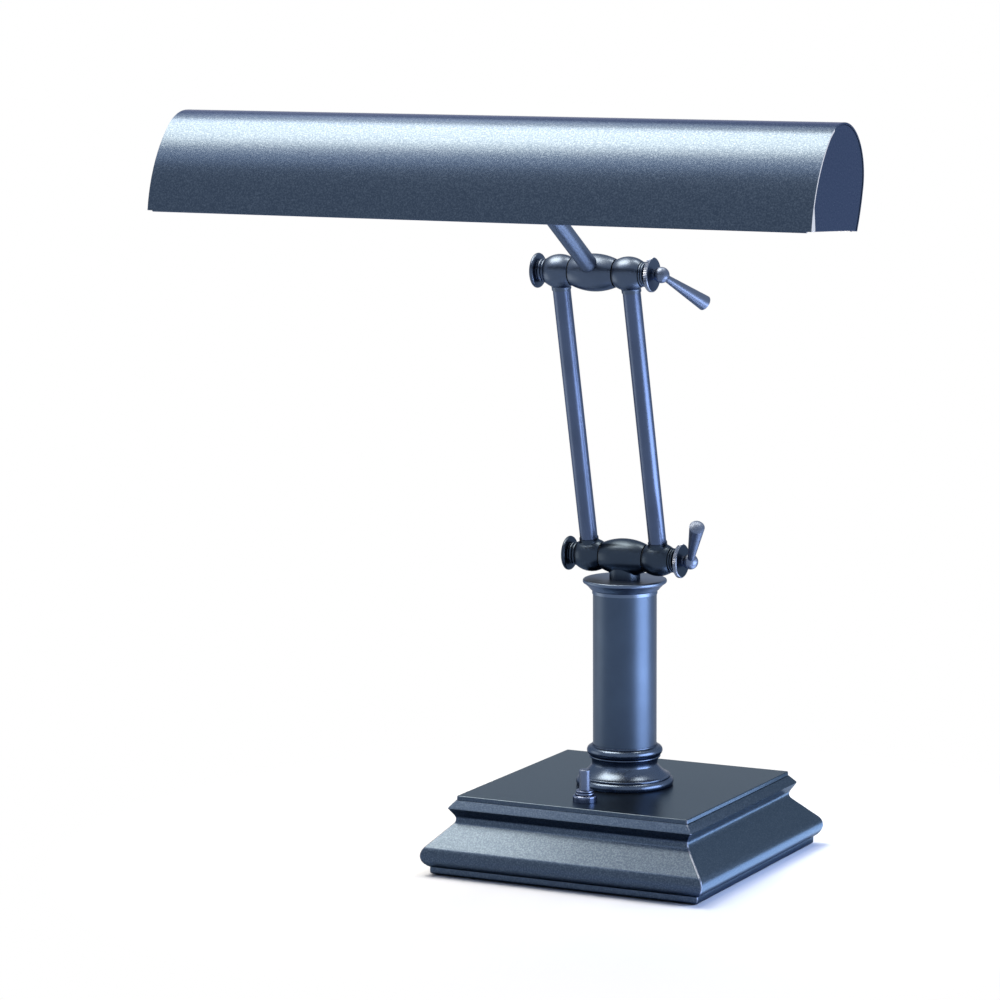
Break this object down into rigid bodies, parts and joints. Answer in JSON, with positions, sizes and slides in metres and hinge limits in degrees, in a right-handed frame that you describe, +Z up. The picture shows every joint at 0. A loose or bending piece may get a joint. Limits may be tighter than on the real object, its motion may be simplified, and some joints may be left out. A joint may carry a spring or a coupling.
{
  "type": "desk lamp",
  "caption": "Desk lamp with a long trough shade on a tilting rod, leaning arms between lever-clamped hinges, a turned column and a square moulded base with a push switch.",
  "frame": {"origin": "centre of the felt under the square base, on the column axis", "axes": "+Z up the column, +X along the shade towards the clamp levers, -Y towards the shade overhang"},
  "size_m": [0.3556, 0.2587, 0.3974],
  "materials": {
    "shade_paint": "satin gunmetal paint with a fine texture",
    "base_paint": "satin gunmetal paint with a fine texture",
    "fitting_paint": "semi-gloss gunmetal paint",
    "button_metal": "semi-gloss gunmetal paint",
    "zinc_steel": "bright zinc plate",
    "weight_iron": "as cast",
    "felt": "pressed wool felt",
    "nylon": "moulded nylon",
    "fibre": "pressed fibre",
    "phenolic": "moulded phenolic",
    "socket_brass": "drawn",
    "cap_aluminium": "drawn",
    "bulb_glass": "inside frosted",
    "wire": "extruded jacket"
  },
  "bodies": {
    "base": {"base_casting": "base_paint", "base_weight": "weight_iron", "bottom_cover": "zinc_steel", "felt_pad": "felt", "cover_screws": "zinc_steel", "cord_bushing": "nylon", "switch_body": "fitting_paint", "switch_nut": "fitting_paint", "switch_leads": "wire", "column_foot": "fitting_paint", "column_tube": "fitting_paint", "column_cap": "fitting_paint", "centre_pipe": "zinc_steel", "pipe_washer": "zinc_steel", "pipe_nut": "zinc_steel", "lower_barrel": "fitting_paint"},
    "arms": {"lower_right_knuckle": "fitting_paint", "lower_left_knuckle": "fitting_paint", "upper_right_knuckle": "fitting_paint", "upper_left_knuckle": "fitting_paint", "right_arm_tube": "fitting_paint", "left_arm_tube": "fitting_paint", "lower_bolt": "zinc_steel", "lower_washers": "fibre", "lower_cap_nut": "fitting_paint", "upper_bolt": "zinc_steel", "upper_washers": "fibre", "upper_cap_nut": "fitting_paint"},
    "lower_lever": {"lower_clamp_nut": "fitting_paint", "lower_lever_ball": "fitting_paint", "lower_lever_handle": "fitting_paint"},
    "upper_lever": {"upper_clamp_nut": "fitting_paint", "upper_lever_ball": "fitting_paint", "upper_lever_handle": "fitting_paint"},
    "head": {"upper_barrel": "fitting_paint", "shade_rod": "fitting_paint", "rod_elbow": "fitting_paint", "shade_shell": "shade_paint", "right_end_plate": "shade_paint", "left_end_plate": "shade_paint", "mount_spacer": "zinc_steel", "mount_nipple": "zinc_steel", "mount_nut": "zinc_steel", "socket_bracket": "zinc_steel", "socket_screws": "zinc_steel", "centre_contacts": "socket_brass", "socket_leads": "wire", "left_socket_body": "phenolic", "right_socket_body": "phenolic", "left_screw_shell": "socket_brass", "right_screw_shell": "socket_brass", "left_bulb_cap": "cap_aluminium", "right_bulb_cap": "cap_aluminium", "left_bulb_glass": "bulb_glass", "right_bulb_glass": "bulb_glass"},
    "button": {"switch_button": "button_metal"}
  },
  "joints": [
    {"name": "arm_swing", "type": "hinge", "parent": "base", "child": "arms", "pos_m": [0, 0, 0.1617], "axis": [1, 0, 0], "range_deg": [-35, 50]},
    {"name": "shade_tilt", "type": "hinge", "parent": "arms", "child": "head", "pos_m": [0, -0.03642, 0.31339], "axis": [1, 0, 0], "range_deg": [-60, 60]},
    {"name": "lower_lever_turn", "type": "hinge", "parent": "arms", "child": "lower_lever", "pos_m": [0, 0, 0.1617], "axis": [1, 0, 0], "range_deg": [0, 180]},
    {"name": "upper_lever_turn", "type": "hinge", "parent": "arms", "child": "upper_lever", "pos_m": [0, -0.03642, 0.31339], "axis": [1, 0, 0], "range_deg": [0, 180]},
    {"name": "switch_press", "type": "slide", "parent": "base", "child": "button", "axis": [0, 0, -1], "range_m": [0, 0.003], "stiffness_N_per_m": 800, "springref_m": -0.001}
  ]
}
